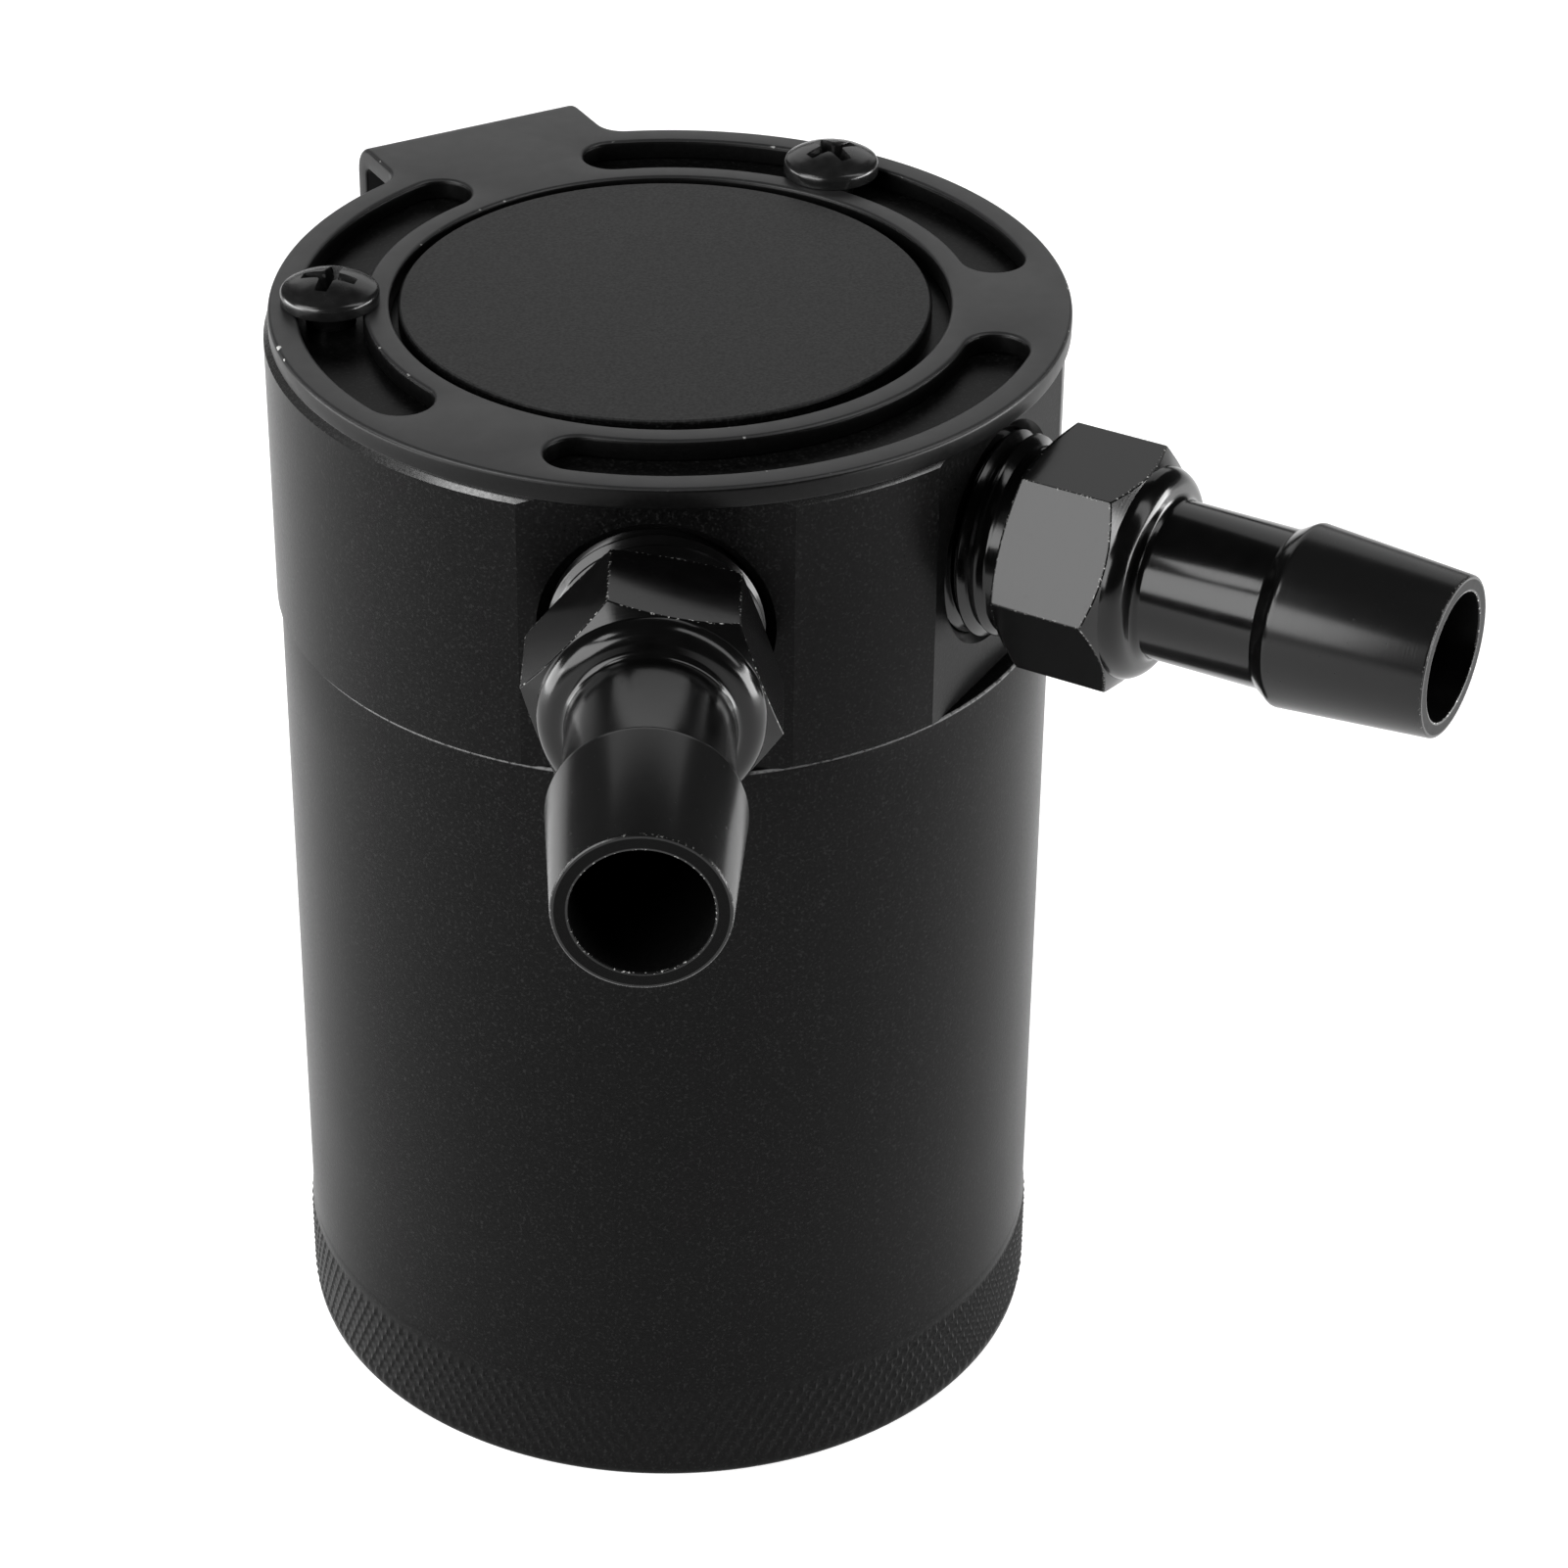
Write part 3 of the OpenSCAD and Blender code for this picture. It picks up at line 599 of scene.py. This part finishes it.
lead(blend(nicks, coat, (0.42, 0.42, 0.41)), shader, "Base Color")
lead(0.36 + 0.08 * orange_peel, shader, "Roughness")
lead(bumped(orange_peel, 0.05, 0.05 * mm), shader, "Normal")
# A darker, duller copy of the black coat for the sheet's edges: painted shade.
edge_shade_paint, shader, place = new_finish("black_coat_edge_shade", Specular_IOR_Level=0.12)
lead(blend(grain(place, 0.4 * mm), 0.001, 0.004), shader, "Base Color")
lead(0.3 + 0.1 * grain(place, 0.8 * mm), shader, "Roughness")
bracket.data.materials.append(black_coat)
bracket.data.materials.append(edge_shade_paint)
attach(bracket, "bracket")
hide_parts("bracket")

# The bracket's screws: pan-head machine screws with a cross recess, black oxide over steel, a
# little oily. The recess is punched: four tapering arms round a deeper middle.
head_r = 4.95 * mm
dome_r = head_r - 0.45 * mm
rim_h = 1.65 * mm
crown = 1.2 * mm
head_h = rim_h + crown
rim_low = 0.15 * mm
rim_high = 0.7 * mm
shank_r = 2.5 * mm
shank_len = 10.2 * mm
shank_bevel = 0.5 * mm
dome_rows = 12
screw_turns = {"left": 48, "right": 5}
black_oxide, shader, place = new_finish("black_oxide", Specular_IOR_Level=0.45)
oil = grain(place, 1.4 * mm, 3.0)
lead(blend(oil, 0.003, 0.012), shader, "Base Color")
lead(0.14 + 0.2 * oil, shader, "Roughness")
lead(bumped(oil, 0.25, 0.06 * mm), shader, "Normal")


def cutter_between(name, rows, turn=0):
    """A closed cutter through rows of points in mm, from its foot to its top."""
    form = bmesh.new()
    made = []
    for row in rows:
        made.append([form.verts.new((x * mm, y * mm, head_h + z * mm)) for x, y, z in row])
    for lower, upper in zip(made, made[1:]):
        for i in range(len(lower)):
            j = (i + 1) % len(lower)
            form.faces.new((lower[i], lower[j], upper[j], upper[i]))
    form.faces.new(list(reversed(made[0])))
    form.faces.new(made[-1])
    form.transform(Matrix.Rotation(math.radians(turn), 4, "Z"))
    mesh = bpy.data.meshes.new(name)
    form.to_mesh(mesh)
    form.free()
    return placed(name, mesh)


def blade(turn):
    """One blade of the punch: narrower at its foot, a little thicker in the middle."""
    rows = []
    for reach, thick, z in ((1.3, 0.4, -2.1), (2.85, 0.78, -0.4), (3.05, 0.86, 0.6)):
        slim = thick * 0.8
        near = [(-reach, -slim, z), (0, -thick, z), (reach, -slim, z)]
        rows.append(near + [(reach, slim, z), (0, thick, z), (-reach, slim, z)])
    return cutter_between("blade", rows, turn)


def pilot():
    """The middle of the punch: an eight-sided point between the blades."""
    turns = [math.radians(22.5 + 45 * i) for i in range(8)]
    rows = []
    for radius, z in ((0.5, -2.4), (1.25, -0.5), (1.4, 0.6)):
        rows.append([(radius * math.cos(a), radius * math.sin(a), z) for a in turns])
    return cutter_between("pilot", rows)


def punched(piece, cutter):
    """Cuts the cutter out of the piece and removes the cutter."""
    punch = piece.modifiers.new("punch", "BOOLEAN")
    punch.operation = "DIFFERENCE"
    punch.object = cutter
    bpy.context.view_layer.update()
    result = piece.evaluated_get(bpy.context.evaluated_depsgraph_get())
    cut_mesh = bpy.data.meshes.new_from_object(result)
    piece.modifiers.clear()
    piece.data = cut_mesh
    bpy.data.objects.remove(cutter)


pan_outline = [(0, -shank_len), (shank_r - shank_bevel, -shank_len)]
pan_outline += [(shank_r, shank_bevel - shank_len), (shank_r, 0), (head_r - 0.2 * mm, 0)]
pan_outline += round_corner(head_r - rim_low, rim_low, rim_low, -60, 0, 3)
pan_outline += round_corner(head_r - rim_high, rim_h - rim_high, rim_high, 0, 66, 8)
for i in range(1, dome_rows):
    share = 1 - i / dome_rows
    pan_outline.append((dome_r * share, rim_h + crown * (1 - share**2)))
pan_outline.append((0, head_h))
for side, turn in screw_turns.items():
    low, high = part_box(f"bracket_screw_{side}")
    spot = Vector(((low.x + high.x) / 2, (low.y + high.y) / 2, plate_top))
    screw = turned(f"pan_screw_{side}", pan_outline, 72)
    for cutter in (blade(0), blade(90.5), pilot()):
        punched(screw, cutter)
    turned_by = Matrix.Rotation(math.radians(turn), 4, "Z")
    screw.data.transform(Matrix.Translation(spot) @ turned_by)
    screw.data.shade_smooth()
    screw.data.set_sharp_from_angle(angle=math.radians(28))
    screw.data.materials.clear()
    screw.data.materials.append(black_oxide)
    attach(screw, "head")
    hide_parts(f"bracket_screw_{side}")

# The hose fittings: turned from hexagon bar, bright-dipped and anodised glossy black, then
# screwed into the head's ports. A rolled thread, the hexagon, a round shoulder, one barb.
port_z = 103.3 * mm
stub_r = 10.35 * mm
stub_depth = 0.9 * mm
stub_root = stub_r - stub_depth
stub_pitch = 1.81 * mm
stub_end = 15.0 * mm
stub_relief = 1.2 * mm
hex_half = 10.7 * mm
hex_len = 11.2 * mm
hex_near = 0.55 * mm
hex_far = 1.1 * mm
hex_soft = 0.12 * mm
hex_core = 7 * mm
shoulder_z = 11.1 * mm
shoulder_r = 8.55 * mm
shoulder_round = 2.1 * mm
neck_round = 0.82 * mm
neck_end = 14.15 * mm
tube_r = 7.9 * mm
tube_end = 25.7 * mm
barb_r = 9.1 * mm
barb_top = 27.6 * mm
tip_r = 7.95 * mm
tip_end = 43.2 * mm
bore_r = 6.35 * mm
hex_base = 42.6 * mm
fittings = {"inlet": (-119, 49), "outlet": (-58, 2)}
gloss_anodised, shader, place = new_finish("gloss_black_anodised", Specular_IOR_Level=0.3)
smear = grain(place, 2.5 * mm, 3.0)
along = place.node("Attribute", {"attribute_name": "along"}, {}, output=2)
mark_sockets = {"W": along, "Scale": 1 / (0.16 * mm), "Detail": 2.0}
tool_marks = place.node("TexNoise", {"noise_dimensions": "1D"}, mark_sockets)
scuffs = slope(grain(place, 0.5 * mm, 4.0), 0.66, 0.8)
turned_tip_and_light_paint = slope(along, barb_top - 0.3 * mm, barb_top + 0.3 * mm)
nicked = worn_edge(place, 0.3 * mm, 0.6)
# Past the barb's top the black is painted lighter: painted light for the reflection on the tapered
# tip, over the dye's random tone.
dye_and_light_paint = blend(turned_tip_and_light_paint, blend(smear, 0.001, 0.003), 0.006)
lead(blend(nicked, dye_and_light_paint, (0.4, 0.4, 0.39)), shader, "Base Color")
rough = 0.08 + 0.07 * smear + 0.07 * turned_tip_and_light_paint + 0.08 * tool_marks + 0.12 * scuffs
lead(rough, shader, "Roughness")
surface = tool_marks * (0.2 + 0.8 * turned_tip_and_light_paint) + 0.35 * grain(place, 0.22 * mm, 1.0)
lead(bumped(surface, 0.12, 0.02 * mm), shader, "Normal")
# A darker, duller copy of the gloss black for the tip's end face and the bore: painted shade.
bore_shade_paint, shader, place = new_finish("gloss_black_tip", Specular_IOR_Level=0.06)
lead(blend(grain(place, 0.4 * mm), 0.001, 0.003), shader, "Base Color")
lead(0.3 + 0.1 * grain(place, 0.8 * mm), shader, "Roughness")


def lofted(form, rings, closed=True, worn_at=None, dark_at=()):
    """Quads between rings of points; marks where the edge is worn and which rows take the darker
    copy of the black, a painted shade.
    """
    worn, along = form.verts.layers.float["worn"], form.verts.layers.float["along"]
    made = [[form.verts.new(point) for point in ring] for ring in rings]
    for row, ring in enumerate(made):
        for column, vert in enumerate(ring):
            vert[along] = vert.co.z
            vert[worn] = worn_at(row, column) if worn_at else 0
    for row, (lower, upper) in enumerate(zip(made, made[1:])):
        for i in range(len(lower) if closed else len(lower) - 1):
            j = (i + 1) % len(lower)
            face = form.faces.new((lower[i], lower[j], upper[j], upper[i]))
            face.material_index = row in dark_at


def thread_shell(form, columns=96):
    """A rolled thread: its rows follow the helix, so that crest and root stay crisp."""
    flank = ((0.08, 0.0), (0.14, 0.12), (0.40, 0.88), (0.45, 1.0))
    shape = ((0.0, 0.0), *flank, *((1 - part, lift) for part, lift in reversed(flank)))
    first, last = -stub_end, -stub_relief
    turns = int((last - first) / stub_pitch) + 2
    rings = []
    for turn in range(-1, turns):
        for part, lift in shape:
            ring = []
            for column in range(columns + 1):
                z = first + stub_pitch * (turn + part + column / columns)
                run_in = max(0, (z - first) / stub_pitch)
                run_out = max(0, (last - z) / stub_pitch)
                r = stub_root + stub_depth * lift * min(1, run_in, run_out)
                z = min(max(z, first), last)
                a = 2 * math.pi * column / columns
                ring.append((r * math.cos(a), r * math.sin(a), z))
            rings.append(ring)
    lofted(form, rings, closed=False)


def hexagon_shell(form, turn):
    """The hexagon bar's stretch, with a turned bevel at both ends and edges broken by a file."""
    sector = math.radians(60)
    corner = hex_half / math.cos(sector / 2)
    soft_at = corner - hex_soft / math.cos(sector / 2)
    flat_half = (hex_half - hex_soft) * math.tan(sector / 2)
    flat_spots = (-0.975, -0.9, -0.6, -0.3, 0, 0.3, 0.6, 0.9, 0.975)
    corner_turns = [math.radians(a) for a in (0, 15, 30, 45, 60)]
    points = []
    for side in range(6):
        middle = sector * side + turn
        cos, sin = math.cos(middle), math.sin(middle)
        for share in flat_spots:
            y = share * flat_half
            points.append((hex_half * cos - y * sin, hex_half * sin + y * cos))
        at = middle + sector / 2
        for a in corner_turns:
            x = soft_at * math.cos(at) + hex_soft * math.cos(middle + a)
            y = soft_at * math.sin(at) + hex_soft * math.sin(middle + a)
            points.append((x, y))
    face_r = hex_half - 0.1 * mm
    slim = 0.1 * mm
    rings = [[] for _ in range(10)]
    for x, y in points:
        r = math.hypot(x, y)
        beyond = (r - face_r) / (corner - face_r)
        near_z, far_z = hex_near * beyond, hex_len - hex_far * beyond
        outline = (
            (hex_core, 0),
            (face_r, 0),
            (r - 0.04 * mm, near_z - 0.02 * mm),
            (r, near_z + slim),
            (r, near_z + 3 * slim),
            (r, far_z - 3 * slim),
            (r, far_z - slim),
            (r - 0.06 * mm, far_z + 0.04 * mm),
            (face_r, hex_len),
            (hex_core, hex_len),
        )
        for ring, (reach, z) in zip(rings, outline):
            ring.append((x / r * reach, y / r * reach, z))
    across = len(flat_spots) + len(corner_turns)

    def worn_at(row, column):
        """Most at the far bevel, less at the near one and along the corners."""
        if row in (3, 6):
            return 0.3 if row == 3 else 1
        return 0.4 * (3 < row < 6 and column % across >= len(flat_spots))

    lofted(form, rings, worn_at=worn_at)


def tail_shell(form, columns=128):
    """The turned tail: shoulder, tube, barb, tip, and the bore back to the stub's end."""
    line = [(stub_root, -stub_relief), (stub_root, 0.2 * mm)]
    for a in (math.radians(step) for step in range(0, 79, 6)):
        r = shoulder_r + shoulder_round * math.cos(a)
        line.append((r, shoulder_z + (shoulder_round + 0.1 * mm) * math.sin(a)))
    for a in (math.radians(step) for step in range(12, 91, 13)):
        r = tube_r + neck_round * (1 - math.sin(a))
        line.append((r, neck_end - neck_round * math.cos(a)))
    line += [(tube_r, tube_end - 0.15 * mm), (tube_r + 0.03 * mm, tube_end)]
    line += [(tube_r + 0.15 * mm, tube_end + 0.1 * mm), (barb_r - 0.15 * mm, barb_top - 0.35 * mm)]
    line += [(barb_r - 0.04 * mm, barb_top - 0.15 * mm), (barb_r, barb_top + 0.1 * mm)]
    line += [(barb_r - 0.02 * mm, barb_top + 0.35 * mm), (tip_r + 0.03 * mm, tip_end - 0.3 * mm)]
    line += [(tip_r - 0.03 * mm, tip_end - 0.12 * mm), (tip_r - 0.15 * mm, tip_end - 0.02 * mm)]
    line += [(tip_r - 0.3 * mm, tip_end), (tip_r - 0.35 * mm, tip_end)]
    tip = len(line) - 1
    line += [(bore_r + 0.25 * mm, tip_end), (bore_r + 0.2 * mm, tip_end)]
    line += [(bore_r + 0.05 * mm, tip_end - 0.06 * mm), (bore_r, tip_end - 0.2 * mm)]
    line += [(bore_r, 20 * mm), (bore_r, 0.1 * mm - stub_end), (bore_r + 0.1 * mm, -stub_end)]
    line += [(stub_root - 0.25 * mm, -stub_end), (stub_root - 0.05 * mm, 0.3 * mm - stub_end)]
    rings = []
    for r, z in line:
        turns = [2 * math.pi * column / columns for column in range(columns)]
        rings.append([(r * math.cos(a), r * math.sin(a), z) for a in turns])
    worn = {tip - 3: 0.3, tip + 3: 1}
    # The tip's end face and the bore take the darker copy: painted shade.
    dark = (tip, *range(tip + 4, len(line)))
    lofted(form, rings, worn_at=lambda row, column: worn.get(row, 0), dark_at=dark)


for name, (heading, turn) in fittings.items():
    form = bmesh.new()
    form.verts.layers.float.new("worn")
    form.verts.layers.float.new("along")
    thread_shell(form)
    hexagon_shell(form, math.radians(turn + 30))
    tail_shell(form)
    bmesh.ops.remove_doubles(form, verts=form.verts, dist=1e-7)
    bmesh.ops.dissolve_degenerate(form, edges=form.edges, dist=1e-7)
    out = Vector((math.cos(math.radians(heading)), math.sin(math.radians(heading)), 0))
    across = Vector((-out.y, out.x, 0))
    pose = Matrix((across, (0, 0, 1), out)).transposed().to_4x4()
    form.transform(Matrix.Translation(out * hex_base + Vector((0, 0, port_z))) @ pose)
    fitting = placed(f"{name}_barb", meshed(f"{name}_barb", form, 24))
    fitting.data.materials.append(gloss_anodised)
    fitting.data.materials.append(bore_shade_paint)
    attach(fitting, "head")
    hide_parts(f"{name}_fitting")
